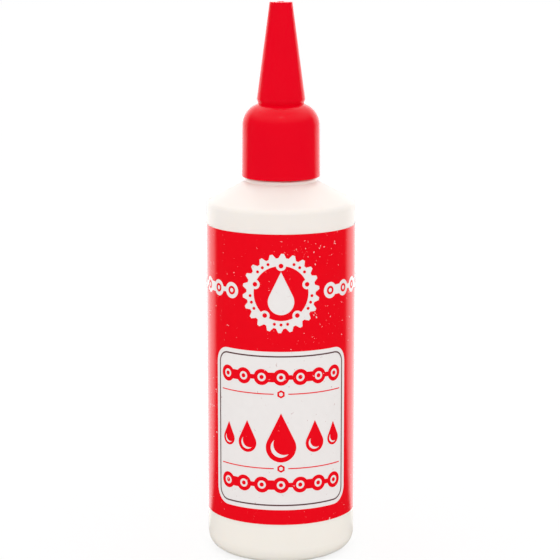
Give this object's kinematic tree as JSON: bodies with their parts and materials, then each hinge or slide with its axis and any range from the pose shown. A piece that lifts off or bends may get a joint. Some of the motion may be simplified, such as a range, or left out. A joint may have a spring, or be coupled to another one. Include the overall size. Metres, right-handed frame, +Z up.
{
  "type": "chain lube bottle",
  "caption": "Round plastic squeeze bottle with a wrapped label, a domed screw closure with a drip nozzle, and a conical push-on overcap.",
  "frame": {"origin": "on the bottle's axis, in the plane it stands on", "axes": "+Z up along the bottle's axis, towards the overcap; -Y is the label's front"},
  "size_m": [0.0454, 0.0454, 0.1688],
  "materials": {
    "blown_wall": "satin",
    "lube": "gloss",
    "label_film": "satin",
    "red_ink": "satin",
    "dark_ink": "satin",
    "foam": "matte",
    "red_cap": "satin"
  },
  "bodies": {
    "bottle": {"bottle": "blown_wall", "lube_fill": "lube", "label_film": "label_film", "label_red_print": "red_ink", "label_dark_print": "dark_ink"},
    "washer": {"sealing_washer": "foam"},
    "closure": {"nozzle_closure": "red_cap"},
    "overcap": {"overcap": "red_cap"}
  },
  "joints": [
    {"name": "closure_lift", "type": "slide", "parent": "bottle", "child": "washer", "axis": [0, 0, 1], "range_m": [0, 0.0191]},
    {"name": "closure_turn", "type": "hinge", "parent": "washer", "child": "closure", "pos_m": [0, 0, 0.12], "axis": [0, 0, 1], "range_deg": [0, 2160]},
    {"name": "overcap_pull", "type": "slide", "parent": "closure", "child": "overcap", "axis": [0, 0, 1], "range_m": [0, 0.034]}
  ],
  "couplings": [
    {"joint": "closure_lift", "follows": "closure_turn", "m_per_rad": 0.00050532}
  ]
}
